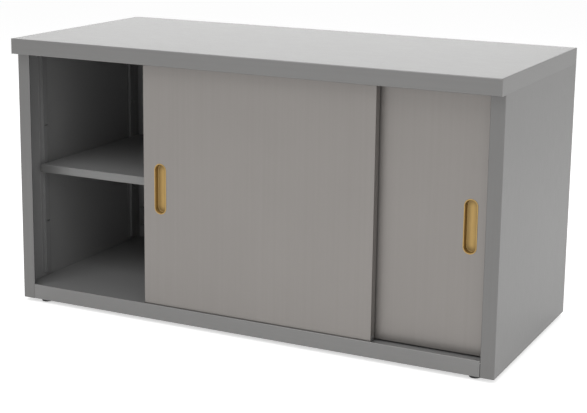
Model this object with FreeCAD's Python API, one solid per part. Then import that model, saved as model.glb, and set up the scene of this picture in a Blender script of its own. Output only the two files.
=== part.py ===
import FreeCAD, Part
import math
import os

from FreeCAD import Vector

# Stainless steel wall cupboard with two hanging sliding doors and one shelf.
# Millimetres. X runs to the right as seen from the front, Y towards the wall, Z up.
# The origin is at the middle of the footprint, level with the undersides of the feet.

# Overall sizes
cabinet_width = 1200.0
cabinet_depth = 545.0
body_height = 637.0
foot_height = 9.0

# Sheet thicknesses, inside radius of a fold, and the gap left at a butt seam
body_sheet = 1.2
back_sheet = 1.0
door_sheet = 0.8
bend_radius = 1.0
seam_gap = 0.1

# Top: its box edge stands out over the doors
top_overhang = 25.0
apron_height = 36.5
apron_return = 14.0

# Side panels: the front stile is folded back on itself behind its face
stile_width = 32.0
stile_inner_flange = 18.0
side_rear_flange = 20.0
side_base_flange = 20.0
side_top_flange = 16.0
joggle_height = 3.0

# Bottom panel: its front rail ends in a rounded lip that stands above the deck
rail_height = 36.5
lip_height = 5.0
rail_return = 20.0
deck_side_flange = 20.0

# Hat-shaped stiffeners: half width of the raised part, and the width of a flange
stiffener_half_width = 22.0
stiffener_flange = 14.0
top_stiffener_depth = 22.0
top_stiffener_setback = 272.0
deck_stiffener_depth = 24.0
shelf_stiffener_depth = 14.0
stiffener_end_gap = 40.0

# Rails inside the back that take the wall screws
wall_rail_height = 50.0
wall_rail_depth = 12.0
wall_rail_sheet = 2.0
fixing_side_distance = 100.0
upper_fixing_drop = 87.0
lower_fixing_rise = 90.0
fixing_hole_radius = 4.5

# Sliding doors: outer sizes, places and the passage of the one behind the other
door_thickness = 20.0
door_gap = 5.0
door_front_gap = 1.1
door_bottom_height = 35.0
door_top_gap = 5.0
stile_lap = 2.0
centre_lap = 8.0
front_door_opened = 313.5
door_edge_radius = 1.5

# Flush pull let into each door
pull_length = 114.0
pull_width = 26.0
pull_depth = 12.0
pull_wall = 1.0
pull_rim_width = 1.5
pull_rim_height = 0.8
pull_edge_distance = 44.5
pull_centre_height = 313.0

# Channel in the lower edge of a door, and the guide block whose two fins stand in it
channel_width = 11.0
channel_height = 11.0
channel_wall = 1.8
fin_thickness = 6.0
fin_engagement = 7.5
guide_length = 40.0
guide_base_height = 2.2
guide_base_margin = 8.0
lug_spacing = 26.0
lug_length = 6.0
lug_width = 10.0
lug_drop = 4.0
lug_barb = 1.0

# Double track under the top
track_height = 25.0
track_wall = 1.5
track_middle_wall = 2.0
track_slot = 7.0
backing_plate_height = 3.0
backing_plate_width = 50.0
track_end_gap = 4.0
stop_length = 12.0
stop_height = 15.0
stop_side_gap = 0.2
stop_play = 0.5

# Hangers: a folded plate with two wheels on one pin
hanger_sheet = 2.5
hanger_width = 40.0
hanger_inset = 70.0
hanger_foot_depth = 9.4
hanger_corner_chamfer = 6.0
wheel_radius = 8.0
wheel_width = 6.5
wheel_running_gap = 0.3
wheel_side_gap = 0.75
axle_radius = 2.5
axle_running_gap = 0.05

# Hexagon-headed screws that hold the hangers, and the openings they pass through
screw_radius = 2.0
screw_head_width = 7.0
screw_head_height = 2.0
screw_side_gap = 0.15
hanger_slot_length = 9.0
skin_slot_length = 6.0
nut_plate_thickness = 3.0
nut_plate_length = 60.0
nut_plate_width = 14.0
core_top_gap = 6.0

# Shelf and what carries it
shelf_top_height = 319.5
shelf_edge_height = 20.0
shelf_return = 12.0
shelf_setback = 67.0
shelf_rear_gap = 8.0
shelf_side_gap = 1.3
pilaster_depth = 8.0
pilaster_half_width = 8.0
pilaster_flange = 8.0
front_pilaster_setback = 92.0
rear_pilaster_setback = 38.0
pilaster_end_gap = 10.0
slot_width = 12.0
slot_height = 4.0
slot_pitch = 120.0
clip_sheet = 1.5
clip_width = 18.0
clip_ledge = 16.0
clip_leg = 13.0
clip_tab_width = 10.0
clip_tab_height = 2.5
clip_tab_drop = 6.0
clip_hook_drop = 5.0

# Feet on plates across the bottom corners
foot_inset_x = 50.0
foot_inset_y = 26.0
foot_radius = 13.0
foot_shank_width = 8.0
foot_shank_end = 2.0
corner_plate_thickness = 3.0
corner_plate_size = 70.0
corner_plate_chamfer = 24.0

# Places worked out from the sizes above
base = foot_height
crown = base + body_height
left = -cabinet_width / 2
right = cabinet_width / 2
front = -cabinet_depth / 2
rear = cabinet_depth / 2
face = front + top_overhang
apron_foot = crown - apron_height
deck = base + rail_height - lip_height
hem_thickness = 2 * (bend_radius + body_sheet)
hem_back = face + hem_thickness
back_face = rear - body_sheet - back_sheet
wall_face = cabinet_width / 2 - body_sheet

opening_width = cabinet_width - 2 * stile_width
door_width = opening_width / 2 + stile_lap + centre_lap / 2
door_pitch = door_thickness + door_gap
front_door_face = hem_back + door_front_gap
rear_door_face = front_door_face + door_pitch
door_bottom = base + door_bottom_height
closed_left_edge = left + stile_width - stile_lap
closed_right_edge = right - stile_width + stile_lap

track_top = crown - body_sheet - backing_plate_height
track_bottom = track_top - track_height
wheel_centre = track_bottom + track_wall + wheel_running_gap + wheel_radius
door_top = track_bottom - door_top_gap
track_middle = front_door_face + door_thickness / 2 + door_pitch / 2

fixing_x = right - fixing_side_distance
lower_fixing = base + lower_fixing_rise
upper_fixing = crown - upper_fixing_drop

shelf_top = base + shelf_top_height
shelf_foot = shelf_top - shelf_edge_height
slot_centre = shelf_foot - clip_sheet - clip_tab_drop
front_pilaster = face + front_pilaster_setback
rear_pilaster = back_face - rear_pilaster_setback


# Boxes are given by their low and high limits along each axis.
def block(x, y, z):
    return Part.makeBox(x[1] - x[0], y[1] - y[0], z[1] - z[0], Vector(x[0], y[0], z[0]))


def about(centre, size):
    return (centre - size / 2, centre + size / 2)


def rod(foot, direction, radius, length):
    return Part.makeCylinder(radius, length, foot, direction)


def joined(shapes):
    result = shapes[0]
    for shape in shapes[1:]:
        result = result.fuse(shape)
    return result.removeSplitter()


def cut_by(shape, tools):
    for tool in tools:
        shape = shape.cut(tool)
    return shape


def mirrored(shape):
    return shape.mirror(Vector(0, 0, 0), Vector(1, 0, 0))


# Edges that lie wholly between two opposite corners of a box.
def edges_within(shape, x, y, z):
    slack = 0.01
    found = []
    for edge in shape.Edges:
        box = edge.BoundBox
        inside_x = box.XMin > x[0] - slack and box.XMax < x[1] + slack
        inside_y = box.YMin > y[0] - slack and box.YMax < y[1] + slack
        inside_z = box.ZMin > z[0] - slack and box.ZMax < z[1] + slack
        if inside_x and inside_y and inside_z:
            found.append(edge)
    return found


# A point of a flat outline, set into one of the planes that the outlines are drawn in.
def on_plane(plane, u, v):
    if plane == "yz":
        return Vector(0, u, v)
    if plane == "xz":
        return Vector(u, 0, v)
    if plane == "yx":
        return Vector(v, u, 0)
    return Vector(u, v, 0)


def normal_to(plane):
    if plane == "yz":
        return Vector(1, 0, 0)
    if plane == "xz":
        return Vector(0, 1, 0)
    return Vector(0, 0, 1)


# A folded sheet: the path follows one face, and the metal lies on its left or right as it runs.
# Each corner of the path becomes a bend with the same centre for both faces.
def folded(plane, path, limits, thickness, material_side, radius=bend_radius):
    legs = []
    for here, there in zip(path, path[1:]):
        length = math.hypot(there[0] - here[0], there[1] - here[1])
        legs.append(((there[0] - here[0]) / length, (there[1] - here[1]) / length))
    inward = [(-leg[1] * material_side, leg[0] * material_side) for leg in legs]

    near_edges = []
    far_edges = []
    near_point = path[0]
    far_point = (path[0][0] + inward[0][0] * thickness, path[0][1] + inward[0][1] * thickness)
    start_cap = (far_point, near_point)

    for index in range(1, len(path)):
        corner = path[index]
        last = index == len(path) - 1
        if last:
            reach = 0.0
        else:
            before, after = legs[index - 1], legs[index]
            turn = before[0] * after[1] - before[1] * after[0]
            half_angle = math.acos(max(-1.0, min(1.0, before[0] * after[0] + before[1] * after[1]))) / 2
            inside_bend = turn * material_side > 0
            near_radius = radius + thickness if inside_bend else radius
            far_radius = radius if inside_bend else radius + thickness
            reach = near_radius * math.tan(half_angle)

        leg = legs[index - 1]
        near_end = (corner[0] - leg[0] * reach, corner[1] - leg[1] * reach)
        normal = inward[index - 1]
        far_end = (near_end[0] + normal[0] * thickness, near_end[1] + normal[1] * thickness)
        for edges, begin, end in ((near_edges, near_point, near_end), (far_edges, far_point, far_end)):
            if math.hypot(end[0] - begin[0], end[1] - begin[1]) > 1e-6:
                edges.append(Part.makeLine(on_plane(plane, *begin), on_plane(plane, *end)))
        if last:
            near_point, far_point = near_end, far_end
            break

        side = math.copysign(1.0, turn)
        centre = (near_end[0] - leg[1] * side * near_radius, near_end[1] + leg[0] * side * near_radius)
        span = math.hypot(corner[0] - centre[0], corner[1] - centre[1])
        outward = ((corner[0] - centre[0]) / span, (corner[1] - centre[1]) / span)
        near_next = (corner[0] + after[0] * reach, corner[1] + after[1] * reach)
        normal = inward[index]
        far_next = (near_next[0] + normal[0] * thickness, near_next[1] + normal[1] * thickness)
        bends = ((near_edges, near_end, near_radius, near_next), (far_edges, far_end, far_radius, far_next))
        for edges, begin, bend, end in bends:
            middle = (centre[0] + outward[0] * bend, centre[1] + outward[1] * bend)
            arc = Part.Arc(on_plane(plane, *begin), on_plane(plane, *middle), on_plane(plane, *end))
            edges.append(arc.toShape())
        near_point, far_point = near_next, far_next

    end_line = Part.makeLine(on_plane(plane, *near_point), on_plane(plane, *far_point))
    start_line = Part.makeLine(on_plane(plane, *start_cap[0]), on_plane(plane, *start_cap[1]))
    outline = near_edges + [end_line] + far_edges[::-1] + [start_line]
    sheet_face = Part.Face(Part.Wire(Part.__sortEdges__(outline)))
    sheet_face.translate(normal_to(plane) * limits[0])
    return sheet_face.extrude(normal_to(plane) * (limits[1] - limits[0]))


# A flat outline drawn out along the line that stands on its plane.
def extruded(plane, outline, limits):
    points = [on_plane(plane, u, v) for u, v in outline + outline[:1]]
    face_shape = Part.Face(Part.makePolygon(points))
    face_shape.translate(normal_to(plane) * limits[0])
    return face_shape.extrude(normal_to(plane) * (limits[1] - limits[0]))


def hexagon(centre, width):
    reach = width / math.sqrt(3)
    turns = [math.radians(60 * step) for step in range(6)]
    return [(centre[0] + reach * math.cos(turn), centre[1] + reach * math.sin(turn)) for turn in turns]


# A hat section stands up from a base line, with a flange on each side of its raised part.
def hat(plane, centre, base_line, rise, limits, half_width, flange, thickness):
    step = math.copysign(thickness, rise)
    half = [(half_width, base_line + rise - step), (half_width, base_line), (half_width + flange, base_line),
            (half_width + flange, base_line + step), (half_width + thickness, base_line + step),
            (half_width + thickness, base_line + rise)]
    other_half = [(-u, v) for u, v in reversed(half)]
    return extruded(plane, [(centre + u, v) for u, v in half + other_half], limits)


# A box with the edges of one face rounded, as folded flanges leave them.
def folded_block(x, y, z, radius, closed_side):
    body = block(x, y, z)
    if closed_side == "top":
        edges = edges_within(body, x, y, (z[1], z[1]))
    else:
        edges = edges_within(body, x, (y[0], y[0]), z)
    return body.makeFillet(radius, edges)


# A folded tray, open below.
def top_tray(x, y, z, thickness, radius):
    hollow = block((x[0] + thickness, x[1] - thickness), (y[0] + thickness, y[1] - thickness),
                   (z[0] - thickness, z[1] - thickness))
    return folded_block(x, y, z, radius + thickness, "top").cut(hollow)


# Rounds the four upright corners of a shape that fills the given limits.
def with_round_corners(shape, x, y, z, radius):
    for corner_x, outward_x in ((x[0], -1), (x[1], 1)):
        for corner_y, outward_y in ((y[0], -1), (y[1], 1)):
            centre = Vector(corner_x - outward_x * radius, corner_y - outward_y * radius, z[0])
            across = sorted((centre.x, corner_x + outward_x))
            along = sorted((centre.y, corner_y + outward_y))
            shape = shape.cut(block(across, along, z).cut(rod(centre, Vector(0, 0, 1), radius, z[1] - z[0])))
    return shape


# A shape with straight sides and half-round ends, upright in the XZ plane.
def oblong(centre_x, centre_z, width, length, y):
    radius = width / 2
    straight = length / 2 - radius
    low, high = centre_z - straight, centre_z + straight
    near, far = centre_x - radius, centre_x + radius
    upper_arc = Part.Arc(Vector(near, 0, high), Vector(centre_x, 0, high + radius), Vector(far, 0, high))
    lower_arc = Part.Arc(Vector(far, 0, low), Vector(centre_x, 0, low - radius), Vector(near, 0, low))
    outline = [Part.makeLine(Vector(near, 0, low), Vector(near, 0, high)), upper_arc.toShape(),
               Part.makeLine(Vector(far, 0, high), Vector(far, 0, low)), lower_arc.toShape()]
    shape = Part.Face(Part.Wire(outline))
    shape.translate(Vector(0, y[0], 0))
    return shape.extrude(Vector(0, y[1] - y[0], 0))


# Fixed pieces of the cabinet

def make_top_panel():
    x, y, z = (left, right), (front, rear), (apron_foot, crown)
    tray = top_tray(x, y, z, body_sheet, bend_radius)
    tray = with_round_corners(tray, x, y, z, bend_radius + body_sheet)
    # the front edge is closed underneath and turned up against the stiles
    closing = folded("yz", [(face, apron_foot + apron_return), (face, apron_foot), (front, apron_foot),
                            (front, apron_foot + apron_return)],
                     (left + body_sheet, right - body_sheet), body_sheet, -1)
    front_wall = block((left + body_sheet, right - body_sheet), (front - body_sheet, front + body_sheet),
                       (apron_foot, apron_foot + bend_radius + body_sheet))
    return joined([tray.cut(front_wall), closing])


def make_top_stiffener():
    return hat("yz", face + top_stiffener_setback, crown - body_sheet, -top_stiffener_depth,
               (left + stiffener_end_gap, right - stiffener_end_gap),
               stiffener_half_width, stiffener_flange, body_sheet)


def make_left_side_panel():
    stile_edge = left + stile_width
    skin_path = [(stile_edge - stile_inner_flange, hem_back), (stile_edge, hem_back),
                 (stile_edge, face), (left, face), (left, rear), (left + side_rear_flange, rear)]
    skin = folded("xy", skin_path, (base, apron_foot - seam_gap), body_sheet, -1)
    # above the seam the sheet steps in by its own thickness and stands inside the top's edge
    tongue_side = left + body_sheet
    tongue_rear = back_face - bend_radius
    tongue_top = crown - 2 * body_sheet - bend_radius
    tongue = folded("xy", [(stile_edge, face), (tongue_side, face), (tongue_side, tongue_rear)],
                    (apron_foot - seam_gap - joggle_height, tongue_top), body_sheet, -1)
    lower_flange = block((left + body_sheet / 2, left + side_base_flange),
                         (hem_back + seam_gap, rear - body_sheet / 2),
                         (base, base + body_sheet))
    upper_flange = folded("xz", [(tongue_side, apron_foot), (tongue_side, crown - body_sheet),
                                 (tongue_side + side_top_flange, crown - body_sheet)],
                          (track_middle + track_outer_width() / 2 + seam_gap, tongue_rear), body_sheet, -1)
    return joined([skin, tongue, lower_flange, upper_flange])


def wall_fixing_holes(y, z):
    feet = [Vector(x, y[0], z) for x in (-fixing_x, fixing_x)]
    return [rod(foot, Vector(0, 1, 0), fixing_hole_radius, y[1] - y[0]) for foot in feet]


def make_back_panel():
    y = (back_face, back_face + back_sheet)
    sheet_edge = wall_face - bend_radius
    panel = block((-sheet_edge, sheet_edge), y, (base + body_sheet, crown - body_sheet - bend_radius))
    return cut_by(panel, wall_fixing_holes(y, lower_fixing) + wall_fixing_holes(y, upper_fixing))


def make_wall_rail(z_centre):
    low, high = about(z_centre, wall_rail_height)
    lip = back_face - wall_rail_depth
    reach = wall_face - pilaster_depth
    x = (-reach, reach)
    rail = block(x, (lip, back_face), (low, high))
    hollow = block(x, (lip, back_face - wall_rail_sheet), (low + wall_rail_sheet, high - wall_rail_sheet))
    return cut_by(rail.cut(hollow), wall_fixing_holes((lip, back_face), z_centre))


def make_bottom_panel():
    rail_edge = right - stile_width - seam_gap
    top_of_rail = base + rail_height
    rail_path = [(face + rail_return, base), (face, base), (face, top_of_rail), (hem_back, top_of_rail),
                 (hem_back, deck), (back_face, deck), (back_face, base), (back_face - rail_return, base)]
    rail = folded("yz", rail_path, (-rail_edge, rail_edge), body_sheet, -1)
    deck_y = (hem_back + seam_gap, back_face - bend_radius - body_sheet)
    wide = folded("xz", [(-wall_face, deck - deck_side_flange), (-wall_face, deck), (wall_face, deck),
                         (wall_face, deck - deck_side_flange)], deck_y, body_sheet, -1)
    return cut_by(joined([rail, wide]), lug_holes())


def make_bottom_stiffener():
    return hat("yz", 0.0, deck - body_sheet, -deck_stiffener_depth,
               (left + stiffener_end_gap, right - stiffener_end_gap),
               stiffener_half_width, stiffener_flange, body_sheet)


# Door track

def track_outer_width():
    return 2 * door_pitch - track_middle_wall + 2 * track_wall


def channel_centres():
    return about(track_middle, door_pitch)


def make_backing_plate():
    edge = wall_face - body_sheet - track_end_gap
    return block((-edge, edge), about(track_middle, backing_plate_width),
                 (track_top, track_top + backing_plate_height))


def make_door_track():
    edge = wall_face - body_sheet - track_end_gap
    x = (-edge, edge)
    track = block(x, about(track_middle, track_outer_width()), (track_bottom, track_top))
    for centre in channel_centres():
        cavity = block(x, about(centre, door_pitch - track_middle_wall),
                       (track_bottom + track_wall, track_top - track_wall))
        slot = block(x, about(centre, track_slot), (track_bottom, track_bottom + track_wall))
        track = cut_by(track, [cavity, slot])
    return track


def make_track_stops():
    hanger_reach = hanger_inset - hanger_width / 2 - stop_play
    width = door_pitch - track_middle_wall - 2 * stop_side_gap
    z = (track_bottom + track_wall, track_bottom + track_wall + stop_height)
    stops = []
    for centre in channel_centres():
        left_end = closed_left_edge + hanger_reach
        right_end = closed_right_edge - hanger_reach
        stops.append(block((left_end - stop_length, left_end), about(centre, width), z))
        stops.append(block((right_end, right_end + stop_length), about(centre, width), z))
    return stops


# Guide block on the deck, held by two lugs that snap through the sheet

def lug_places():
    return about(0.0, lug_spacing)


def lug_holes():
    z = (deck - 2 * body_sheet, deck + body_sheet)
    return [block(about(place, lug_length), about(track_middle, lug_width), z) for place in lug_places()]


def make_lug(place):
    half = lug_length / 2
    underside = deck - body_sheet
    outline = [(-half, deck), (half, deck), (half, underside), (half + lug_barb, underside),
               (half, underside - lug_drop), (-half, underside - lug_drop), (-half - lug_barb, underside),
               (-half, underside)]
    return extruded("xz", [(place + u, v) for u, v in outline], about(track_middle, lug_width))


def make_floor_guide():
    x = about(0.0, guide_length)
    front_centre, rear_centre = channel_centres()
    plate = block(x, (front_centre - guide_base_margin, rear_centre + guide_base_margin),
                  (deck, deck + guide_base_height))
    pieces = [plate] + [make_lug(place) for place in lug_places()]
    for centre in channel_centres():
        y = about(centre, fin_thickness)
        fin_top = door_bottom + fin_engagement
        fin = block(x, y, (deck, fin_top))
        pieces.append(fin.makeChamfer(fin_thickness / 5, edges_within(fin, x, y, (fin_top, fin_top))))
    return joined(pieces)


# Shelf and its supports

def make_left_pilaster(y):
    z = (deck + pilaster_end_gap, apron_foot - pilaster_end_gap)
    strip = hat("yx", y, -wall_face, pilaster_depth, z, pilaster_half_width, pilaster_flange, body_sheet)
    below = math.floor((slot_centre - z[0] - slot_pitch / 2) / slot_pitch)
    above = math.floor((z[1] - slot_centre - slot_pitch / 2) / slot_pitch)
    ridge = -wall_face + pilaster_depth
    slots = [block((ridge - 2 * body_sheet, ridge + body_sheet), about(y, slot_width),
                   about(slot_centre + step * slot_pitch, slot_height)) for step in range(-below, above + 1)]
    return cut_by(strip, slots)


# An angle under the shelf, whose tongue hooks down behind the pilaster's face
def make_left_shelf_clip(y):
    wall = -wall_face + pilaster_depth
    ledge_foot = shelf_foot - clip_sheet
    leg_foot = shelf_foot - clip_leg
    ledge_end = wall + clip_ledge
    leg_face = wall + clip_sheet
    ledge_outline = [(wall, shelf_foot), (ledge_end, shelf_foot), (ledge_end, ledge_foot),
                     (leg_face, ledge_foot), (leg_face, leg_foot), (wall, leg_foot)]
    hook_x = wall - body_sheet
    tab_low, tab_high = about(slot_centre, clip_tab_height)
    hook_foot = slot_centre - clip_hook_drop
    hook_back = hook_x - clip_sheet
    tongue_outline = [(wall, tab_high), (hook_back, tab_high), (hook_back, hook_foot),
                      (hook_x, hook_foot), (hook_x, tab_low), (wall, tab_low)]
    return joined([extruded("xz", ledge_outline, about(y, clip_width)),
                   extruded("xz", tongue_outline, about(y, clip_tab_width))])


def make_shelf_clips():
    left_clips = [make_left_shelf_clip(y) for y in (front_pilaster, rear_pilaster)]
    return left_clips + [mirrored(clip) for clip in left_clips]


def shelf_limits():
    edge = wall_face - pilaster_depth - shelf_side_gap
    return (-edge, edge), (face + shelf_setback, back_face - shelf_rear_gap)


def make_shelf():
    x, y = shelf_limits()
    tray = top_tray(x, y, (shelf_foot, shelf_top), body_sheet, bend_radius)
    # the front edge is turned under
    inner_x = (x[0] + body_sheet, x[1] - body_sheet)
    turned_path = [(y[0] + shelf_return, shelf_foot), (y[0], shelf_foot), (y[0], shelf_foot + shelf_return)]
    turned = folded("yz", turned_path, inner_x, body_sheet, -1)
    front_wall = block(inner_x, (y[0] - body_sheet, y[0] + body_sheet),
                       (shelf_foot, shelf_foot + bend_radius + body_sheet))
    return joined([tray.cut(front_wall), turned])


def make_shelf_stiffener():
    x, y = shelf_limits()
    return hat("yz", (y[0] + y[1]) / 2, shelf_top - body_sheet, -shelf_stiffener_depth,
               (x[0] + stiffener_end_gap, x[1] - stiffener_end_gap),
               stiffener_half_width, stiffener_flange, body_sheet)


# Feet

def foot_places():
    x = foot_inset_x - cabinet_width / 2
    return [(x, face + foot_inset_y), (-x, face + foot_inset_y),
            (x, back_face - foot_inset_y), (-x, back_face - foot_inset_y)]


def foot_shank(x, y, z):
    return block(about(x, foot_shank_width), about(y, foot_shank_width), z)


def make_corner_plates():
    z = (base + body_sheet, base + body_sheet + corner_plate_thickness)
    near_x = -wall_face + bend_radius
    near_y = hem_back + seam_gap
    far_x, far_y = near_x + corner_plate_size, near_y + corner_plate_size
    outline = [(near_x, near_y), (far_x, near_y), (far_x, far_y - corner_plate_chamfer),
               (far_x - corner_plate_chamfer, far_y), (near_x, far_y)]
    front_plate = extruded("xy", outline, z)
    # the rear plates are the same, turned round to the back flange
    middle = (near_y + back_face - bend_radius - body_sheet) / 2
    rear_plate = front_plate.mirror(Vector(0, middle, 0), Vector(0, 1, 0))
    holes = [foot_shank(x, y, z) for x, y in foot_places()]
    plates = [front_plate, mirrored(front_plate), rear_plate, mirrored(rear_plate)]
    return [cut_by(plate, holes) for plate in plates]


# Each foot is a round pad with a square shank that is pressed through its plate
def make_feet():
    shank_top = base + body_sheet + corner_plate_thickness + foot_shank_end
    feet = []
    for x, y in foot_places():
        pad = rod(Vector(x, y, 0), Vector(0, 0, 1), foot_radius, foot_height)
        feet.append(joined([pad, foot_shank(x, y, (foot_height, shank_top))]))
    return feet


# A door, given by its left edge, its front face and the centre line of its pull

class Door:
    def __init__(self, left_edge, front_face, pull_x):
        self.x = (left_edge, left_edge + door_width)
        self.y = (front_face, front_face + door_thickness)
        self.z = (door_bottom, door_top)
        self.centre_y = front_face + door_thickness / 2
        self.pull_x = pull_x
        self.pull_z = base + pull_centre_height
        self.channel_y = about(self.centre_y, channel_width)
        self.hanger_places = (self.x[0] + hanger_inset, self.x[1] - hanger_inset)

    def screw_places(self):
        y = self.centre_y + hanger_sheet / 2 + (hanger_foot_depth - hanger_sheet / 2 + bend_radius) / 2
        return [Vector(place, y, self.z[1] + hanger_sheet) for place in self.hanger_places]

    # slots for the screws, from the head's underside down to the nut plate
    def screw_slots(self, length):
        return [block(about(place.x, length), about(place.y, 2 * (screw_radius + screw_side_gap)),
                      (self.z[1] - door_sheet, place.z)) for place in self.screw_places()]

    def pull_outline(self, margin, y):
        return oblong(self.pull_x, self.pull_z, pull_width + 2 * margin, pull_length + 2 * margin, y)

    # the front sheet is a tray with its open side to the back
    def skin(self):
        outer = folded_block(self.x, self.y, self.z, door_edge_radius, "front")
        inner_x = (self.x[0] + door_sheet, self.x[1] - door_sheet)
        hollow_z = (self.z[0] + door_sheet, self.z[1] - door_sheet)
        hollow = block(inner_x, (self.y[0] + door_sheet, self.y[1]), hollow_z)
        groove = block(self.x, self.channel_y, (self.z[0], self.z[0] + channel_height))
        rear_strip = block(inner_x, (self.channel_y[1], self.y[1]), (self.z[0], self.z[0] + door_sheet))
        window = self.pull_outline(pull_wall, (self.y[0], self.y[0] + door_sheet))
        return cut_by(outer, [hollow, groove, rear_strip, window] + self.screw_slots(skin_slot_length))

    def inner_skin(self):
        x = (self.x[0] + door_sheet, self.x[1] - door_sheet)
        path = [(self.y[1], self.z[1] - door_sheet), (self.y[1], self.z[0]), (self.channel_y[1], self.z[0])]
        return folded("yz", path, x, door_sheet, -1, door_edge_radius - door_sheet)

    def core(self):
        x = (self.x[0] + door_sheet, self.x[1] - door_sheet)
        y = (self.y[0] + door_sheet, self.y[1] - door_sheet)
        z = (self.z[0] + channel_height, self.z[1] - door_sheet - nut_plate_thickness - core_top_gap)
        pocket = self.pull_outline(pull_wall, (self.y[0], self.y[0] + pull_depth + pull_wall))
        return block(x, y, z).cut(pocket)

    def bottom_channel(self):
        z = (self.z[0], self.z[0] + channel_height)
        groove_y = about(self.centre_y, channel_width - 2 * channel_wall)
        return block(self.x, self.channel_y, z).cut(block(self.x, groove_y, (z[0], z[1] - channel_wall)))

    def pull(self):
        rim_front = self.y[0] - pull_rim_height
        floor = self.y[0] + pull_depth
        cup = self.pull_outline(pull_wall, (self.y[0], floor + pull_wall))
        rim = self.pull_outline(pull_wall + pull_rim_width, (rim_front, self.y[0]))
        return joined([cup, rim]).cut(self.pull_outline(0.0, (rim_front, floor)))

    def nut_plates(self):
        z = (self.z[1] - door_sheet - nut_plate_thickness, self.z[1] - door_sheet)
        y = (self.y[1] - door_sheet - nut_plate_width, self.y[1] - door_sheet)
        plates = []
        for place in self.screw_places():
            hole_foot = Vector(place.x, place.y, z[0])
            tapped_hole = rod(hole_foot, Vector(0, 0, 1), screw_radius, nut_plate_thickness)
            plates.append(block(about(place.x, nut_plate_length), y, z).cut(tapped_hole))
        return plates

    def hangers(self):
        front_line = self.centre_y - hanger_sheet / 2
        top = wheel_centre + wheel_radius
        path = [(front_line, top), (front_line, self.z[1]), (self.centre_y + hanger_foot_depth, self.z[1])]
        hangers = []
        for place in self.hanger_places:
            limits = about(place, hanger_width)
            plate = folded("yz", path, limits, hanger_sheet, 1)
            y = about(self.centre_y, hanger_sheet)
            corners = []
            for x in limits:
                corners += edges_within(plate, (x, x), y, (top, top))
            plate = plate.makeChamfer(hanger_corner_chamfer, corners)
            bore_foot = Vector(place, front_line, wheel_centre)
            bore = rod(bore_foot, Vector(0, 1, 0), axle_radius + axle_running_gap, hanger_sheet)
            hangers.append(cut_by(plate, [bore] + self.screw_slots(hanger_slot_length)))
        return hangers

    def hanger_screws(self):
        length = hanger_sheet + door_sheet + nut_plate_thickness
        screws = []
        for seat in self.screw_places():
            head_z = (seat.z, seat.z + screw_head_height)
            head = extruded("xy", hexagon((seat.x, seat.y), screw_head_width), head_z)
            screws.append(joined([head, rod(seat, Vector(0, 0, -1), screw_radius, length)]))
        return screws

    # two wheels pressed on one pin, which turns in the hanger
    def wheels(self, place):
        reach = hanger_sheet / 2 + wheel_side_gap + wheel_width
        pin_end = Vector(place, self.centre_y - reach, wheel_centre)
        pieces = [rod(pin_end, Vector(0, 1, 0), axle_radius, 2 * reach)]
        for y in (self.centre_y - reach, self.centre_y + reach - wheel_width):
            pieces.append(rod(Vector(place, y, wheel_centre), Vector(0, 1, 0), wheel_radius, wheel_width))
        return joined(pieces)


def save(name, shapes):
    if not isinstance(shapes, list):
        shapes = [shapes]
    solids = []
    for shape in shapes:
        solids += shape.Solids
    Part.makeCompound(solids).exportStep("parts/" + name + ".step")
    print(name, len(solids), "solids")


def main():
    os.makedirs("parts", exist_ok=True)
    side_panel = make_left_side_panel()
    front_pilaster_strip = make_left_pilaster(front_pilaster)
    rear_pilaster_strip = make_left_pilaster(rear_pilaster)

    save("top_panel", make_top_panel())
    save("top_stiffener", make_top_stiffener())
    save("left_side_panel", side_panel)
    save("right_side_panel", mirrored(side_panel))
    save("back_panel", make_back_panel())
    save("upper_wall_rail", make_wall_rail(upper_fixing))
    save("lower_wall_rail", make_wall_rail(lower_fixing))
    save("bottom_panel", make_bottom_panel())
    save("bottom_stiffener", make_bottom_stiffener())
    save("track_backing_plate", make_backing_plate())
    save("door_track", make_door_track())
    save("track_stops", make_track_stops())
    save("floor_guide", make_floor_guide())
    save("left_front_pilaster", front_pilaster_strip)
    save("left_rear_pilaster", rear_pilaster_strip)
    save("right_front_pilaster", mirrored(front_pilaster_strip))
    save("right_rear_pilaster", mirrored(rear_pilaster_strip))
    save("shelf", make_shelf())
    save("shelf_stiffener", make_shelf_stiffener())
    save("shelf_clips", make_shelf_clips())
    save("corner_plates", make_corner_plates())
    save("feet", make_feet())

    front_edge = closed_left_edge + front_door_opened
    rear_edge = closed_right_edge - door_width
    doors = {"front_door": Door(front_edge, front_door_face, front_edge + pull_edge_distance),
             "rear_door": Door(rear_edge, rear_door_face, closed_right_edge - pull_edge_distance)}
    for name, door in doors.items():
        save(name + "_skin", door.skin())
        save(name + "_inner_skin", door.inner_skin())
        save(name + "_core", door.core())
        save(name + "_bottom_channel", door.bottom_channel())
        save(name + "_pull", door.pull())
        save(name + "_nut_plates", door.nut_plates())
        save(name + "_hangers", door.hangers())
        save(name + "_hanger_screws", door.hanger_screws())
        for side, place in zip(("left", "right"), door.hanger_places):
            save(name + "_" + side + "_wheels", door.wheels(place))

    print("front door travel", round(closed_left_edge - front_edge, 3),
          round(closed_right_edge - door_width - front_edge, 3))
    print("rear door travel", round(closed_left_edge - rear_edge, 3), 0.0)


main()
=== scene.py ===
import math

import bmesh
import bpy
from mathutils import Matrix, Vector


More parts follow.
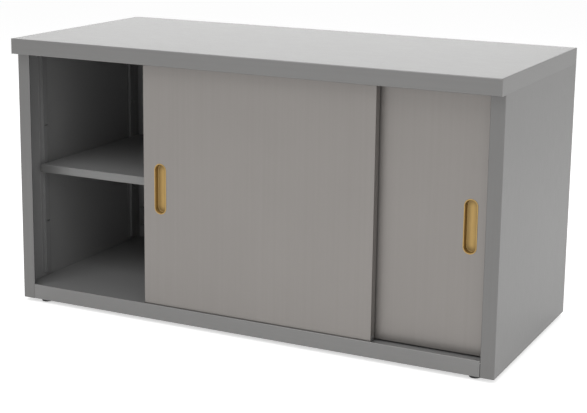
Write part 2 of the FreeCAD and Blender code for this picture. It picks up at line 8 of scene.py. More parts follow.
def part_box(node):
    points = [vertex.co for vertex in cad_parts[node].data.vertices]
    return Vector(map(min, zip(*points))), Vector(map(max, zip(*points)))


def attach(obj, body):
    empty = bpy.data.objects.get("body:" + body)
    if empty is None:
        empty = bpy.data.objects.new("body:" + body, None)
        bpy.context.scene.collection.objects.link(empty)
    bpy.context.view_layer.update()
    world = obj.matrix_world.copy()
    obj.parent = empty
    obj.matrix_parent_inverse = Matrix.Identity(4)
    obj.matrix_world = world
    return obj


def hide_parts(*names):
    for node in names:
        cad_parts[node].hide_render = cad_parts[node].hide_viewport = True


# Stainless wall cupboard with two sliding doors. Everything is in metres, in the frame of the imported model:
# X to the right, Y towards the wall, Z up.

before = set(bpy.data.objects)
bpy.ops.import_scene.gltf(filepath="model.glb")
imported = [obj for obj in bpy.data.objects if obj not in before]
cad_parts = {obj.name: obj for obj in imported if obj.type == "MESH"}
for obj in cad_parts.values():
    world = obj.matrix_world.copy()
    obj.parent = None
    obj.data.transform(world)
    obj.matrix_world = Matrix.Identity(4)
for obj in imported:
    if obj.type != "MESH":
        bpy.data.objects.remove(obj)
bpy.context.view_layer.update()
doors = ("front_door", "rear_door")
print("frame loaded:", len(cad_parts), "nodes")


# Camera, as the photograph was taken

cameraPlace = {
    "position": (1.4539, -2.9339, 1.0702),
    "azimuth": 26.253,      # degrees to the right of the front
    "elevation": 11.705,    # degrees above the horizon
    "roll": 0.711,
    "lens": 86.87,          # millimetres
    "sensorWidth": 36.0,    # millimetres
    "axisRow": 150.0,       # row of the picture that the optical axis meets
    "clip": (0.05, 100.0),
}
pictureSize = (587, 413)    # columns and rows


def makeCamera(place):
    azimuth, elevation, roll = (math.radians(place[key]) for key in ("azimuth", "elevation", "roll"))
    back = Vector((math.sin(azimuth) * math.cos(elevation), -math.cos(azimuth) * math.cos(elevation),
                   math.sin(elevation)))
    level = Vector((math.cos(azimuth), math.sin(azimuth), 0))
    upright = back.cross(level)
    right = level * math.cos(roll) + upright * math.sin(roll)
    up = upright * math.cos(roll) - level * math.sin(roll)
    data = bpy.data.cameras.new("camera")
    data.sensor_fit = "HORIZONTAL"
    data.sensor_width = place["sensorWidth"]
    data.lens = place["lens"]
    data.shift_y = (place["axisRow"] - pictureSize[1] / 2) / pictureSize[0]
    data.clip_start, data.clip_end = place["clip"]
    camera = bpy.data.objects.new("camera", data)
    camera.location = place["position"]
    camera.rotation_euler = Matrix((right, up, back)).transposed().to_euler()
    bpy.context.scene.collection.objects.link(camera)
    bpy.context.scene.camera = camera


makeCamera(cameraPlace)
print("camera placed")


# Studio: pale floor, white surroundings, soft lamps

studio = {
    "surround": 1.0,            # what the camera and reflections see
    "ambient": 0.42,            # what falls on matt surfaces
    "floorColour": (0.92, 0.92, 0.92),
    "floorLift": 0.58,          # brings the floor up to white for the camera and in reflections
    "floorRoughness": 0.9,
    "floorHalfWidth": 30.0,
}
lamps = {
    "overhead": {"place": (0.2, 0.4, 2.6), "aim": (0.0, 0.1, 0.6), "size": (3.0, 2.2), "power": 18.0},
    "frontTop": {"place": (-0.4, -2.3, 3.0), "aim": (0.0, -0.2, 0.3), "size": (2.6, 1.6), "power": 37.0},
    "behind": {"place": (-1.7, 3.4, 1.5), "aim": (0.0, 0.0, 0.65), "size": (3.2, 1.4), "power": 17.0},
    "rightFill": {"place": (3.4, 0.8, 1.2), "aim": (0.5, 0.0, 0.35), "size": (1.8, 1.8), "power": 18.0},
    "frontFill": {"place": (3.0, -3.0, 1.3), "aim": (0.0, 0.0, 0.3), "size": (2.0, 2.0), "power": 7.0},
}


# 1 for the camera and for what is seen in metal or glass, 0 for light that falls on a surface
def seenDirectly(tree):
    path = tree.nodes.new("ShaderNodeLightPath")
    seen = path.outputs["Is Camera Ray"]
    for ray in ("Is Glossy Ray", "Is Transmission Ray"):
        either = tree.nodes.new("ShaderNodeMath")
        either.operation = "MAXIMUM"
        tree.links.new(seen, either.inputs[0])
        tree.links.new(path.outputs[ray], either.inputs[1])
        seen = either.outputs[0]
    return seen


def makeWorld(values):
    world = bpy.data.worlds.new("studioWorld")
    world.use_nodes = True
    bpy.context.scene.world = world
    nodes, links = world.node_tree.nodes, world.node_tree.links
    nodes.clear()
    output = nodes.new("ShaderNodeOutputWorld")
    mixer = nodes.new("ShaderNodeMixShader")
    dim = nodes.new("ShaderNodeBackground")
    dim.inputs["Strength"].default_value = values["ambient"]
    bright = nodes.new("ShaderNodeBackground")
    bright.inputs["Strength"].default_value = values["surround"]
    for shader in (dim, bright):
        shader.inputs["Color"].default_value = (1, 1, 1, 1)
    links.new(seenDirectly(world.node_tree), mixer.inputs[0])
    links.new(dim.outputs[0], mixer.inputs[1])
    links.new(bright.outputs[0], mixer.inputs[2])
    links.new(mixer.outputs[0], output.inputs["Surface"])


def makeLamp(name, values):
    data = bpy.data.lights.new(name, "AREA")
    data.shape = "RECTANGLE"
    data.size, data.size_y = values["size"]
    data.energy = values["power"]
    lamp = bpy.data.objects.new(name, data)
    lamp.location = values["place"]
    aim = Vector(values["aim"]) - Vector(values["place"])
    lamp.rotation_euler = aim.to_track_quat("-Z", "Y").to_euler()
    lamp.visible_camera = False
    bpy.context.scene.collection.objects.link(lamp)


def makeFloor(values):
    half = values["floorHalfWidth"]
    corners = [(-half, -half, 0), (half, -half, 0), (half, half, 0), (-half, half, 0)]
    mesh = bpy.data.meshes.new("floor")
    mesh.from_pydata(corners, [], [(0, 1, 2, 3)])
    floor = bpy.data.objects.new("floor", mesh)
    bpy.context.scene.collection.objects.link(floor)
    material = bpy.data.materials.new("paleFloor")
    material.use_nodes = True
    tree = material.node_tree
    shader = tree.nodes["Principled BSDF"]
    shader.inputs["Base Color"].default_value = (*values["floorColour"], 1)
    shader.inputs["Roughness"].default_value = values["floorRoughness"]
    shader.inputs["Specular IOR Level"].default_value = 0.0
    shader.inputs["Emission Color"].default_value = (1, 1, 1, 1)
    lift = tree.nodes.new("ShaderNodeMath")
    lift.operation = "MULTIPLY"
    lift.inputs[1].default_value = values["floorLift"]
    tree.links.new(seenDirectly(tree), lift.inputs[0])
    tree.links.new(lift.outputs[0], shader.inputs["Emission Strength"])
    mesh.materials.append(material)


bpy.context.scene.view_settings.view_transform = "Standard"
makeWorld(studio)
for lampName, lampValues in lamps.items():
    makeLamp(lampName, lampValues)
makeFloor(studio)
print("studio made")


# Materials. Patterns are drawn on Object coordinates, so they run on across the pieces of one sheet.

def startMaterial(name):
    material = bpy.data.materials.new(name)
    material.use_nodes = True
    tree = material.node_tree
    coordinates = tree.nodes.new("ShaderNodeTexCoord")
    return material, tree, tree.nodes["Principled BSDF"], coordinates.outputs["Object"]


def noiseAlong(tree, vector, scales, detail=2.0, roughness=0.5):
    mapping = tree.nodes.new("ShaderNodeMapping")
    mapping.inputs["Scale"].default_value = scales
    tree.links.new(vector, mapping.inputs["Vector"])
    noise = tree.nodes.new("ShaderNodeTexNoise")
    noise.inputs["Scale"].default_value = 1.0
    noise.inputs["Detail"].default_value = detail
    noise.inputs["Roughness"].default_value = roughness
    tree.links.new(mapping.outputs["Vector"], noise.inputs["Vector"])
    return noise.outputs["Fac"]


def spread(tree, value, low, high, fromLow=0.3, fromHigh=0.7):
    ranger = tree.nodes.new("ShaderNodeMapRange")
    ranger.inputs["From Min"].default_value = fromLow
    ranger.inputs["From Max"].default_value = fromHigh
    ranger.inputs["To Min"].default_value = low
    ranger.inputs["To Max"].default_value = high
    tree.links.new(value, ranger.inputs["Value"])
    return ranger.outputs["Result"]


def multiply(tree, first, second):
    product = tree.nodes.new("ShaderNodeMath")
    product.operation = "MULTIPLY"
    tree.links.new(first, product.inputs[0])
    tree.links.new(second, product.inputs[1])
    return product.outputs[0]


def tint(tree, colour, strength):
    mixer = tree.nodes.new("ShaderNodeMix")
    mixer.data_type = "RGBA"
    mixer.blend_type = "MULTIPLY"
    mixer.inputs["Factor"].default_value = 1.0
    mixer.inputs["A"].default_value = (*colour, 1)
    tree.links.new(strength, mixer.inputs["B"])
    return mixer.outputs["Result"]


# The second value where the factor is 1, else the first
def mixed(tree, factor, first, second, kind):
    mixer = tree.nodes.new("ShaderNodeMix")
    mixer.data_type = kind
    sockets = {socket.name: socket for socket in mixer.inputs if socket.enabled}
    tree.links.new(factor, sockets["Factor"])
    tree.links.new(first, sockets["A"])
    sockets["B"].default_value = second
    return next(socket for socket in mixer.outputs if socket.enabled)


def addBump(tree, shader, height, strength, distance):
    bump = tree.nodes.new("ShaderNodeBump")
    bump.inputs["Strength"].default_value = strength
    bump.inputs["Distance"].default_value = distance
    tree.links.new(height, bump.inputs["Height"])
    tree.links.new(bump.outputs["Normal"], shader.inputs["Normal"])


contactShading = {
    "samples": 8,
    "openness": (0.4, 1.0),   # of a place in full shade, and of one in none
}


# Darker where the surface is hemmed in by others less than reach metres away
def contactShade(tree, reach, deepest):
    shade = tree.nodes.new("ShaderNodeAmbientOcclusion")
    shade.samples = contactShading["samples"]
    shade.inputs["Distance"].default_value = reach
    return spread(tree, shade.outputs["AO"], deepest, 1.0, *contactShading["openness"])


# The sheet is brushed on the outside. Its dull mill finish stays on the inside, in a grey of its own.
# The mill finish starts behind the named piece's front, by the named depth.
sheetFinishes = {
    "frameSheet": {"colour": (0.210, 0.208, 0.205), "grain": "x", "millGrey": 0.31},
    "wallSheet": {"colour": (0.190, 0.188, 0.185), "grain": "z", "millGrey": 0.37},
    "baseSheet": {"colour": (0.224, 0.222, 0.219), "grain": "x", "millGrey": 0.285},
    "doorSheet": {"colour": (0.266, 0.250, 0.237), "grain": "z"},
    "insideSheet": {"colour": (0.24, 0.24, 0.238), "grain": "x", "millGrey": 0.31},
    "shelfSheet": {"colour": (0.235, 0.235, 0.232), "grain": "x", "millGrey": 0.30,
                   "millFrom": ("shelf", "skinDepth"), "metallic": 0.25},
}
brushing = {
    "acrossFine": 2600.0,     # grain lines in a metre, across the brushing
    "alongFine": 30.0,
    "fineDetail": 1.0,
    "acrossCoarse": 150.0,
    "alongCoarse": 1.6,
    "coarseDetail": 3.0,
    "cloudScale": 5.0,
    "coarseTone": (0.983, 1.014),
    "cloudTone": (0.985, 1.012),
    "roughness": (0.36, 0.46),
    "metallic": 0.60,
    "bumpStrength": 0.25,
    "bumpDistance": 0.00002,
}
millFinish = {
    "roughness": 0.55,
    "metallic": 0.25,
    "skinDepth": 0.0006,      # from the outer face to the change of finish, half a sheet
    "hemDepth": 0.0062,       # the same at the front, past the folded edges of the side walls
}


# 1 within the shell of the cupboard, 0 on its outer faces and on the front of the named piece
def insideShell(tree, place, frontPiece, frontDepth):
    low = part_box("left_side_panel")[0]
    depth = millFinish["skinDepth"]
    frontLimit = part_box(frontPiece)[0].y + millFinish[frontDepth]
    split = tree.nodes.new("ShaderNodeSeparateXYZ")
    tree.links.new(place, split.inputs[0])
    sideways = tree.nodes.new("ShaderNodeMath")
    sideways.operation = "ABSOLUTE"
    tree.links.new(split.outputs["X"], sideways.inputs[0])
    tests = [(sideways.outputs[0], "LESS_THAN", -low.x - depth),
             (split.outputs["Y"], "GREATER_THAN", frontLimit),
             (split.outputs["Y"], "LESS_THAN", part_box("back_panel")[1].y - depth),
             (split.outputs["Z"], "GREATER_THAN", low.z + depth),
             (split.outputs["Z"], "LESS_THAN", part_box("top_panel")[1].z - depth)]
    within = None
    for value, operation, limit in tests:
        test = tree.nodes.new("ShaderNodeMath")
        test.operation = operation
        test.inputs[1].default_value = limit
        tree.links.new(value, test.inputs[0])
        within = test.outputs[0] if within is None else multiply(tree, within, test.outputs[0])
    return within


def brushedSteel(name, colour, grain, millGrey=None, millFrom=("left_side_panel", "hemDepth"),
                 metallic=brushing["metallic"]):
    material, tree, shader, place = startMaterial(name)
    fine = [brushing["acrossFine"]] * 3
    coarse = [brushing["acrossCoarse"]] * 3
    fine["xyz".index(grain)] = brushing["alongFine"]
    coarse["xyz".index(grain)] = brushing["alongCoarse"]
    fineGrain = noiseAlong(tree, place, fine, brushing["fineDetail"])
    coarseGrain = noiseAlong(tree, place, coarse, brushing["coarseDetail"])
    clouds = noiseAlong(tree, place, [brushing["cloudScale"]] * 3)
    tone = multiply(tree, spread(tree, coarseGrain, *brushing["coarseTone"]),
                    spread(tree, clouds, *brushing["cloudTone"]))
    surfaceColour = tint(tree, colour, tone)
    surfaceRoughness = spread(tree, fineGrain, *brushing["roughness"])
    shader.inputs["Metallic"].default_value = metallic
    if millGrey:
        inside = insideShell(tree, place, *millFrom)
        surfaceColour = mixed(tree, inside, surfaceColour, (millGrey, millGrey, millGrey, 1), "RGBA")
        surfaceRoughness = mixed(tree, inside, surfaceRoughness, millFinish["roughness"], "FLOAT")
        if metallic != millFinish["metallic"]:
            tree.links.new(spread(tree, inside, metallic, millFinish["metallic"], 0.0, 1.0),
                           shader.inputs["Metallic"])
    tree.links.new(surfaceColour, shader.inputs["Base Color"])
    tree.links.new(surfaceRoughness, shader.inputs["Roughness"])
    addBump(tree, shader, fineGrain, brushing["bumpStrength"], brushing["bumpDistance"])
    return material


brassFinish = {
    "colour": (0.49, 0.325, 0.115),
    "toneSpread": (0.94, 1.04),
    "roughness": (0.38, 0.50),
    "grainScale": (900.0, 900.0, 40.0),
    "metallic": 0.55,
    "shade": (0.014, 0.32),   # how near other surfaces must be, and the deepest shade
    "cloudScale": (60.0, 60.0, 25.0),
    "bump": (0.2, 0.00002),   # strength and distance
}


def satinBrass(values):
    material, tree, shader, place = startMaterial("satinBrass")
    grain = noiseAlong(tree, place, values["grainScale"])
    clouds = noiseAlong(tree, place, values["cloudScale"])
    tone = multiply(tree, spread(tree, clouds, *values["toneSpread"]), contactShade(tree, *values["shade"]))
    tree.links.new(tint(tree, values["colour"], tone), shader.inputs["Base Color"])
    tree.links.new(spread(tree, grain, *values["roughness"]), shader.inputs["Roughness"])
    shader.inputs["Metallic"].default_value = values["metallic"]
    addBump(tree, shader, grain, *values["bump"])
    return material


plasticFinishes = {
    "footPlastic": {"colour": (0.07, 0.07, 0.072), "roughness": (0.5, 0.65)},
    "whiteNylon": {"colour": (0.72, 0.71, 0.68), "roughness": (0.35, 0.5)},
    "boardCore": {"colour": (0.50, 0.40, 0.28), "roughness": (0.8, 0.95)},
}
plasticGrain = {
    "speckleScale": (1500.0, 1500.0, 1500.0),
    "cloudScale": (40.0, 40.0, 40.0),
    "toneSpread": (0.94, 1.04),
    "bump": (0.3, 0.00003),   # strength and distance
}


def mouldedPlastic(name, colour, roughness):
    material, tree, shader, place = startMaterial(name)
    speckle = noiseAlong(tree, place, plasticGrain["speckleScale"])
    clouds = noiseAlong(tree, place, plasticGrain["cloudScale"])
    tone = spread(tree, clouds, *plasticGrain["toneSpread"])
    tree.links.new(tint(tree, colour, tone), shader.inputs["Base Color"])
    tree.links.new(spread(tree, speckle, *roughness), shader.inputs["Roughness"])
    addBump(tree, shader, speckle, *plasticGrain["bump"])
    return material


zincFinish = {
    "colour": (0.42, 0.43, 0.45),
    "roughness": (0.28, 0.5),
    "blotchScale": (220.0, 220.0, 220.0),
    "blotchNoise": (3.0, 0.6),   # detail and roughness of the noise
    "toneSpread": (0.86, 1.1),
    "bump": (0.15, 0.00005),     # strength and distance
}


def platedZinc(values):
    material, tree, shader, place = startMaterial("platedZinc")
    blotches = noiseAlong(tree, place, values["blotchScale"], *values["blotchNoise"])
    tone = spread(tree, blotches, *values["toneSpread"])
    tree.links.new(tint(tree, values["colour"], tone), shader.inputs["Base Color"])
    tree.links.new(spread(tree, blotches, *values["roughness"]), shader.inputs["Roughness"])
    shader.inputs["Metallic"].default_value = 1.0
    addBump(tree, shader, blotches, *values["bump"])
    return material


materials = {name: brushedSteel(name, **values) for name, values in sheetFinishes.items()}
materials.update({name: mouldedPlastic(name, **values) for name, values in plasticFinishes.items()})
materials["brass"] = satinBrass(brassFinish)
materials["zinc"] = platedZinc(zincFinish)
print("materials made:", len(materials))


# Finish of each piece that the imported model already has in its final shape

finishOfNode = {
    "top_panel": "frameSheet",
    "bottom_panel": "baseSheet",
    "left_side_panel": "wallSheet",
    "right_side_panel": "wallSheet",
    "back_panel": "wallSheet",
    "shelf": "shelfSheet",
    "floor_guide": "whiteNylon",
    "track_stops": "whiteNylon",
    "feet": "footPlastic",
}
finishOfDoorPiece = {
    "skin": "doorSheet",
    "inner_skin": "doorSheet",
    "core": "boardCore",
    "bottom_channel": "insideSheet",
    "pull": "brass",
    "nut_plates": "zinc",
    "hangers": "zinc",
    "hanger_screws": "zinc",
    "left_wheels": "whiteNylon",
    "right_wheels": "whiteNylon",
}


def finishFor(node):
    for door in doors:
        if node.startswith(door):
            return finishOfDoorPiece[node[len(door) + 1:]]
    return finishOfNode.get(node, "insideSheet")


for nodeName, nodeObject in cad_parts.items():
    nodeObject.data.materials.clear()
    nodeObject.data.materials.append(materials[finishFor(nodeName)])
print("packed pieces finished")


# Shared ways of making a mesh

mergeDistance = 1e-7


# Rings of points with the same count are joined in order. A loop closes on itself, and other shells get
# end faces.
def addShell(form, rings, loop=False, finishIndex=0):
    rows = [[form.verts.new(point) for point in ring] for ring in rings]
    pairs = list(zip(rows, rows[1:]))
    if loop:
        pairs.append((rows[-1], rows[0]))
    faces = []
    for near, far in pairs:
        for index in range(len(near)):
            following = (index + 1) % len(near)
            faces.append(form.faces.new((near[index], near[following], far[following], far[index])))
    if not loop:
        faces += [form.faces.new(rows[0][::-1]), form.faces.new(rows[-1])]
    for face in faces:
        face.material_index = finishIndex


def finishForm(name, form, sharpAngle=32.0):
    bmesh.ops.remove_doubles(form, verts=form.verts, dist=mergeDistance)
    bmesh.ops.recalc_face_normals(form, faces=form.faces)
    mesh = bpy.data.meshes.new(name)
    form.to_mesh(mesh)
    form.free()
    mesh.shade_smooth()
    mesh.set_sharp_from_angle(angle=math.radians(sharpAngle))
    return mesh


# Rings turned about an axis through the centre, from pairs of a place along it and a radius
def turnedRings(centre, axis, profile, steps):
    rings = []
    for along, radius in profile:
        ring = []
        for step in range(steps):
            angle = 2 * math.pi * step / steps
            across, over = radius * math.cos(angle), radius * math.sin(angle)
            offset = (across, along, over) if axis == "y" else (across, over, along)
            ring.append(Vector(centre) + Vector(offset))
        rings.append(ring)
    return rings


# Points of a quarter turn about (u, v), from one angle to another
def quarter(u, v, radius, fromDegrees, toDegrees, steps):
    turn = toDegrees - fromDegrees
    angles = [math.radians(fromDegrees + turn * step / steps) for step in range(steps + 1)]
    return [(u + radius * math.cos(angle), v + radius * math.sin(angle)) for angle in angles]


def addPiece(name, mesh, finishes, body, replaced=()):
    piece = bpy.data.objects.new(name, mesh)
    bpy.context.scene.collection.objects.link(piece)
    mesh.materials.clear()
    for finish in finishes:
        mesh.materials.append(materials[finish])
    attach(piece, body)
    if replaced:
        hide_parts(*replaced)
    return piece


# Node trees that set copies of a small shape along a row or around a ring

def startTree(name, sizes):
    tree = bpy.data.node_groups.new(name, "GeometryNodeTree")
    tree.interface.new_socket("Geometry", in_out="OUTPUT", socket_type="NodeSocketGeometry")
    for label, kind in sizes.items():
        tree.interface.new_socket(label, in_out="INPUT", socket_type="NodeSocket" + kind)
    return tree, tree.nodes.new("NodeGroupInput").outputs


def placeCopies(tree, given, points, turn):
    nodes, links = tree.nodes, tree.links
    shape = nodes.new("GeometryNodeObjectInfo")
    links.new(given["Shape"], shape.inputs["Object"])
    copies = nodes.new("GeometryNodeInstanceOnPoints")
    links.new(points, copies.inputs["Points"])
    links.new(shape.outputs["Geometry"], copies.inputs["Instance"])
    links.new(turn, copies.inputs["Rotation"])
    real = nodes.new("GeometryNodeRealizeInstances")
    links.new(copies.outputs[0], real.inputs[0])
    painted = nodes.new("GeometryNodeSetMaterial")
    links.new(real.outputs[0], painted.inputs["Geometry"])
    links.new(given["Finish"], painted.inputs["Material"])
    links.new(painted.outputs[0], nodes.new("NodeGroupOutput").inputs[0])


# Each copy turns by a random share of Turn, drawn from Seed.
def makeRowTree():
    tree, given = startTree("rowOfShapes", {"Count": "Int", "Start": "Vector", "Step": "Vector",
                                            "Turn": "Vector", "Seed": "Int", "Shape": "Object",
                                            "Finish": "Material"})
    line = tree.nodes.new("GeometryNodeMeshLine")
    for label, socket in (("Count", "Count"), ("Start", "Start Location"), ("Step", "Offset")):
        tree.links.new(given[label], line.inputs[socket])
    chance = tree.nodes.new("FunctionNodeRandomValue")
    chance.data_type = "FLOAT_VECTOR"
    sockets = {socket.name: socket for socket in chance.inputs if socket.enabled}
    sockets["Min"].default_value = (0, 0, 0)
    tree.links.new(given["Turn"], sockets["Max"])
    tree.links.new(given["Seed"], sockets["Seed"])
    placeCopies(tree, given, line.outputs["Mesh"], chance.outputs["Value"])
    return tree


# Copies stand around the Z axis and face outwards.
def makeRingTree():
    tree, given = startTree("ringOfShapes", {"Count": "Int", "Radius": "Float", "Centre": "Vector",
                                             "Shape": "Object", "Finish": "Material"})
    nodes, links = tree.nodes, tree.links
    circle = nodes.new("GeometryNodeMeshCircle")
    links.new(given["Count"], circle.inputs["Vertices"])
    links.new(given["Radius"], circle.inputs["Radius"])
    moved = nodes.new("GeometryNodeTransform")
    links.new(circle.outputs["Mesh"], moved.inputs["Geometry"])
    links.new(given["Centre"], moved.inputs["Translation"])
    share = nodes.new("ShaderNodeMath")
    share.operation = "DIVIDE"
    links.new(nodes.new("GeometryNodeInputIndex").outputs[0], share.inputs[0])
    links.new(given["Count"], share.inputs[1])
    angle = nodes.new("ShaderNodeMath")
    angle.operation = "MULTIPLY"
    angle.inputs[1].default_value = 2 * math.pi
    links.new(share.outputs[0], angle.inputs[0])
    turn = nodes.new("ShaderNodeCombineXYZ")
    links.new(angle.outputs[0], turn.inputs["Z"])
    placeCopies(tree, given, moved.outputs["Geometry"], turn.outputs[0])
    return tree


rowTree = makeRowTree()
ringTree = makeRingTree()


# The plain mesh that a tree grows from one small shape
def grow(tree, shapeMesh, finish, sizes):
    shape = bpy.data.objects.new("shape", shapeMesh)
    host = bpy.data.objects.new("host", bpy.data.meshes.new("host"))
    for helper in (shape, host):
        bpy.context.scene.collection.objects.link(helper)
    modifier = host.modifiers.new("copies", "NODES")
    modifier.node_group = tree
    given = {"Shape": shape, "Finish": materials[finish], **sizes}
    for item in tree.interface.items_tree:
        if item.in_out == "INPUT":
            modifier[item.identifier] = given[item.name]
    grown = bpy.data.meshes.new_from_object(host.evaluated_get(bpy.context.evaluated_depsgraph_get()))
    for helper in (host, shape):
        bpy.data.objects.remove(helper)
    return grown


def joinForm(meshes):
    form = bmesh.new()
    for mesh in meshes:
        form.from_mesh(mesh)
    return form


print("node trees made")


# Flush pulls: one pressed brass shell each, with a rolled rim and a rounded floor

pullShape = {
    "rimWidth": 0.0023,
    "rimHeight": 0.0008,
    "rimOverlap": 0.0015,       # how far the rim reaches over the door's face
    "outerRounding": 0.0005,
    "innerRounding": 0.0006,
    "wallDraft": 0.0005,
    "floorRounding": 0.0030,
    "sheet": 0.001,
    "arcSteps": 26,
    "roundingSteps": 5,
}


# Straight sides and half-round ends in the XZ plane
def stadiumRing(centre, halfWidth, straight, y, steps):
    ring = []
    for side in (1, -1):
        for step in range(steps + 1):
            angle = math.pi * step / steps + (0 if side > 0 else math.pi)
            ring.append(Vector((centre.x + halfWidth * math.cos(angle), y,
                                centre.z + side * straight + halfWidth * math.sin(angle))))
    return ring


def pullProfile(values, depth):
    outer, inner, base = (values[key] for key in ("outerRounding", "innerRounding", "floorRounding"))
    steps = values["roundingSteps"]
    floor = depth - values["sheet"]
    wall = values["rimWidth"] + values["wallDraft"]
    overlap, height = values["rimOverlap"], values["rimHeight"]
    profile = [(overlap, depth), (overlap, height), (0.0, height)]
    profile += quarter(outer, outer, outer, 180, 270, steps)
    profile += quarter(values["rimWidth"] - inner, inner, inner, 270, 360, steps)
    profile += quarter(wall + base, floor - base, base, 180, 90, steps)
    return profile


def makePull(node, values):
    low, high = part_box(node)
    centre = (low + high) / 2
    halfWidth = (high.x - low.x) / 2
    straight = (high.z - low.z) / 2 - halfWidth
    form = bmesh.new()
    addShell(form, [stadiumRing(centre, halfWidth - inset, straight, low.y + depth, values["arcSteps"])
                    for inset, depth in pullProfile(values, high.y - low.y)])
    return finishForm(node + "Shell", form)


for door in doors:
    node = door + "_pull"
    addPiece(door + "_flush_pull", makePull(node, pullShape), ["brass"], door, [node])
print("pulls made")


# Wheels of the hangers: moulded tyres on shielded bearings, with a riveted pin through both

wheelShape = {
    "width": 0.0065,
    "radius": 0.008,
    "crown": 0.0003,
    "edge": 0.0011,
    "rimStep": 0.0004,
    "bearingRadius": 0.0052,
    "ringWidth": 0.0008,
    "shieldDepth": 0.0003,
    "pinRadius": 0.0025,
    "pinChamfer": 0.0004,
    "pinDimple": 0.0009,
    "pressFit": 0.00005,
    "finishes": ("whiteNylon", "zinc"),   # tyres, then bearings and pin
    "steps": 40,
}


def mirroredProfile(half, width):
    return half + [(width - along, radius) for along, radius in reversed(half)]


def tyreProfile(values):
    radius, bore = values["radius"], values["bearingRadius"] - values["pressFit"]
    step, edge = values["rimStep"], values["edge"]
    half = [(step, bore), (step, bore + step), (0.0, bore + 2 * step), (0.0, radius - edge),
            (step, radius - values["crown"] - step), (edge, radius - values["crown"]), (2 * edge, radius)]
    return mirroredProfile(half, values["width"])


def bearingProfile(values):
    outer, inner = values["bearingRadius"], values["pinRadius"] - values["pressFit"]
    ring, sunk = values["ringWidth"], values["shieldDepth"]
    half = [(sunk, inner), (0.0, inner + sunk), (0.0, inner + ring), (sunk, inner + ring + sunk / 2),
            (sunk, outer - ring - sunk / 2), (0.0, outer - ring), (0.0, outer - sunk), (sunk, outer)]
    return mirroredProfile(half, values["width"])


def pinProfile(values, length):
    radius, chamfer, dimple = values["pinRadius"], values["pinChamfer"], values["pinDimple"]
    half = [(chamfer, dimple), (0.0, dimple + chamfer), (0.0, radius - chamfer), (chamfer, radius)]
    return mirroredProfile(half, length)


def makeWheels(node, values):
    low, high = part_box(node)
    centre = (low + high) / 2
    steps = values["steps"]
    metal = values["finishes"].index("zinc")
    form = bmesh.new()
    for start in (low.y, high.y - values["width"]):
        place = (centre.x, start, centre.z)
        addShell(form, turnedRings(place, "y", tyreProfile(values), steps), loop=True)
        addShell(form, turnedRings(place, "y", bearingProfile(values), steps), loop=True, finishIndex=metal)
    pin = turnedRings((centre.x, low.y, centre.z), "y", pinProfile(values, high.y - low.y), steps)
    addShell(form, pin, finishIndex=metal)
    return finishForm(node + "Turned", form)


for door in doors:
    for side in ("left", "right"):
        node = door + "_" + side + "_wheels"
        addPiece(door + "_" + side + "_rollers", makeWheels(node, wheelShape), wheelShape["finishes"], node,
                 [node])
print("rollers made")


# Screws of the hangers: chamfered hexagon heads and a rolled thread

screwShape = {
    "acrossFlats": 0.007,
    "headHeight": 0.002,
    "flatRadius": 0.0031,
    "chamferSlope": 0.5,
    "shankRadius": 0.002,
    "threadPitch": 0.0007,
    "threadDepth": 0.0003,
    "ringsInTurn": 6,
    "steps": 24,
    "sharpAngle": 28.0,       # degrees
    "count": 2,
    "turn": (0.0, 0.0, 1.2),
    "seed": 7,
}


def makeScrew(values, shankLength):
    steps, height = values["steps"], values["headHeight"]
    angles = [2 * math.pi * step / steps for step in range(steps)]

    def ringAt(radiusAt, heightAt):
        return [Vector((radiusAt(angle) * math.cos(angle), radiusAt(angle) * math.sin(angle),
                        heightAt(angle))) for angle in angles]

    def hexRadius(angle):
        return values["acrossFlats"] / 2 / math.cos(angle % (math.pi / 3) - math.pi / 6)

    def chamferHeight(angle):
        return height - (hexRadius(angle) - values["flatRadius"]) * values["chamferSlope"]

    rings = [ringAt(lambda angle: values["flatRadius"], lambda angle: height),
             ringAt(hexRadius, chamferHeight),
             ringAt(hexRadius, lambda angle: 0.0),
             ringAt(lambda angle: values["shankRadius"], lambda angle: 0.0)]
    ringCount = int(shankLength / values["threadPitch"] * values["ringsInTurn"])
    for index in range(1, ringCount):
        turned = index / values["ringsInTurn"]

        def threadRadius(angle):
            phase = (turned + angle / (2 * math.pi)) % 1.0
            return values["shankRadius"] - values["threadDepth"] * abs(2 * phase - 1)

        rings.append(ringAt(threadRadius, lambda angle: -turned * values["threadPitch"]))
    tip = values["shankRadius"] - values["threadDepth"]
    rings.append(ringAt(lambda angle: tip, lambda angle: -shankLength))
    form = bmesh.new()
    addShell(form, rings)
    return finishForm("screw", form, values["sharpAngle"])


for door in doors:
    node = door + "_hanger_screws"
    low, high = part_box(node)
    reach = screwShape["acrossFlats"] / math.sqrt(3)
    seat = high.z - screwShape["headHeight"]
    start = Vector((low.x + reach, (low.y + high.y) / 2, seat))
    screws = grow(rowTree, makeScrew(screwShape, seat - low.z), "zinc",
                  {"Count": screwShape["count"], "Start": start,
                   "Step": (high.x - low.x - 2 * reach, 0.0, 0.0),
                   "Turn": screwShape["turn"], "Seed": screwShape["seed"]})
    screwMesh = finishForm(node, joinForm([screws]), screwShape["sharpAngle"])
    addPiece(door + "_hex_screws", screwMesh, ["zinc"], door, [node])
print("screws made")


# Feet: moulded pads with a ribbed waist, and the square shanks that hold them

footShape = {
    "inset": 0.013,            # from the box of the four feet to a foot's centre
    "padHeight": 0.009,
    "waistRadius": 0.0119,
    "waist": (0.0030, 0.0070),
    "edge": 0.0006,
    "soleRadius": 0.0095,
    "shankHalf": 0.004,
    "shankChamfer": 0.0008,
    "ribCount": 28,
    "ribDepth": 0.0009,
    "ribHalfWidth": 0.0005,
    "ribShoulder": 0.7,        # share of a rib's depth at its widest
    "topInset": 1.5,           # of the pad's top face, in edges
    "steps": 56,
}


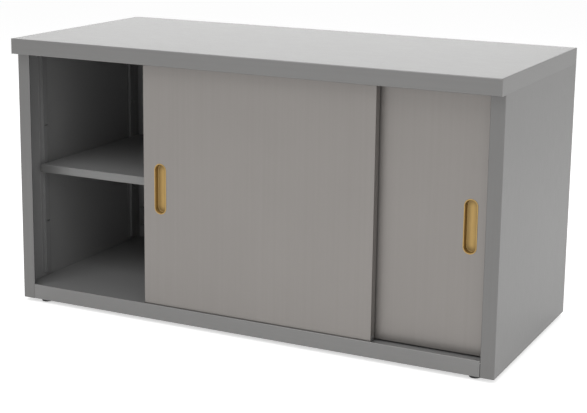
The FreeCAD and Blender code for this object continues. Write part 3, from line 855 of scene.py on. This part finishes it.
def padProfile(values):
    radius, edge, top = values["inset"], values["edge"], values["padHeight"]
    low, high = values["waist"]
    sole, waist = values["soleRadius"], values["waistRadius"]
    return [(edge, sole - edge), (0.0, sole), (0.0, radius - edge), (edge, radius),
            (low - edge, radius), (low, radius - edge), (low, waist),
            (high, waist), (high, radius - 2 * edge), (high + edge, radius - edge),
            (top - edge / 2, radius - edge), (top, radius - values["topInset"] * edge)]


def squareRing(place, half, chamfer, z):
    short = half - chamfer
    corners = [(half, -short), (half, short), (short, half), (-short, half),
               (-half, short), (-half, -short), (-short, -half), (short, -half)]
    return [Vector((place[0] + x, place[1] + y, z)) for x, y in corners]


def makeRib(values):
    low, high = values["waist"]
    half, depth = values["ribHalfWidth"], values["ribDepth"]
    overlap = values["edge"] / 2
    shoulder = depth * values["ribShoulder"]
    section = [(-overlap, -half), (shoulder, -half), (depth, -half / 2),
               (depth, half / 2), (shoulder, half), (-overlap, half)]
    rings = [[Vector((x, y, z)) for x, y in section] for z in (low - overlap, high + overlap)]
    form = bmesh.new()
    addShell(form, rings)
    return finishForm("rib", form)


def makeFeet(values):
    low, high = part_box("feet")
    inset = values["inset"]
    meshes = []
    form = bmesh.new()
    for x in (low.x + inset, high.x - inset):
        for y in (low.y + inset, high.y - inset):
            addShell(form, turnedRings((x, y, 0.0), "z", padProfile(values), values["steps"]))
            half, chamfer = values["shankHalf"], values["shankChamfer"]
            addShell(form, [squareRing((x, y), half, chamfer, values["padHeight"] - chamfer),
                            squareRing((x, y), half, chamfer, high.z - chamfer),
                            squareRing((x, y), half - chamfer, chamfer, high.z)])
            meshes.append(grow(ringTree, makeRib(values), "footPlastic",
                               {"Count": values["ribCount"], "Radius": values["waistRadius"],
                                "Centre": (x, y, 0.0)}))
    for mesh in meshes:
        form.from_mesh(mesh)
    return finishForm("feet", form)


addPiece("ribbed_feet", makeFeet(footShape), ["footPlastic"], "cabinet", ["feet"])
print("feet made")


# Marks that spot welding leaves where rails and stiffeners are fixed

weldShape = {
    "radius": 0.0027,
    "rise": 0.00012,
    "sunk": 0.0001,
    "crater": ((1.0, 0.86), (1.0, 0.76), (0.35, 0.6), (0.3, 0.3)),   # shares of the rise and the radius
    "spacing": 0.055,
    "endMargin": 0.030,
    "rowsOnRail": (0.22, 0.78),      # shares of a wall rail's height
    "stiffenerSheet": 0.0012,
    "flangeMiddle": 0.007,           # from a stiffener's edge
    "steps": 18,
    "seed": 11,
}


def makeWeldMark(values, axis, outward):
    radius, rise = values["radius"], values["rise"]
    profile = [(-values["sunk"], radius), (0.0, radius)]
    profile += [(rise * high, radius * wide) for high, wide in values["crater"]]
    profile = [(along * outward, ringRadius) for along, ringRadius in profile]
    form = bmesh.new()
    addShell(form, turnedRings((0, 0, 0), axis, profile, values["steps"]))
    return finishForm("weldMark", form)


def weldRow(values, low, high, y, z, axis, outward):
    length = high.x - low.x - 2 * values["endMargin"]
    count = int(length / values["spacing"]) + 1
    turn = (0.0, 2 * math.pi, 0.0) if axis == "y" else (0.0, 0.0, 2 * math.pi)
    return grow(rowTree, makeWeldMark(values, axis, outward), "insideSheet",
                {"Count": count, "Start": (low.x + values["endMargin"], y, z),
                 "Step": (length / (count - 1), 0.0, 0.0), "Turn": turn, "Seed": values["seed"]})


def makeBackWelds(values):
    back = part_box("back_panel")[1].y
    rows = []
    for rail in ("upper_wall_rail", "lower_wall_rail"):
        low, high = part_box(rail)
        for share in values["rowsOnRail"]:
            rows.append(weldRow(values, low, high, back, low.z + share * (high.z - low.z), "y", 1))
    return finishForm("backWelds", joinForm(rows))


# The stiffeners hang below the deck and the shelf, so their marks face down from the flanges.
def makeStiffenerWelds(values):
    sheet, flangeMiddle = values["stiffenerSheet"], values["flangeMiddle"]
    rows = []
    for stiffener in ("bottom_stiffener", "shelf_stiffener"):
        low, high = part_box(stiffener)
        for y in (low.y + flangeMiddle, high.y - flangeMiddle):
            rows.append(weldRow(values, low, high, y, high.z - sheet, "z", -1))
    return finishForm("stiffenerWelds", joinForm(rows))


addPiece("back_weld_marks", makeBackWelds(weldShape), ["wallSheet"], "cabinet")
addPiece("stiffener_weld_marks", makeStiffenerWelds(weldShape), ["insideSheet"], "cabinet")
print("weld marks made")
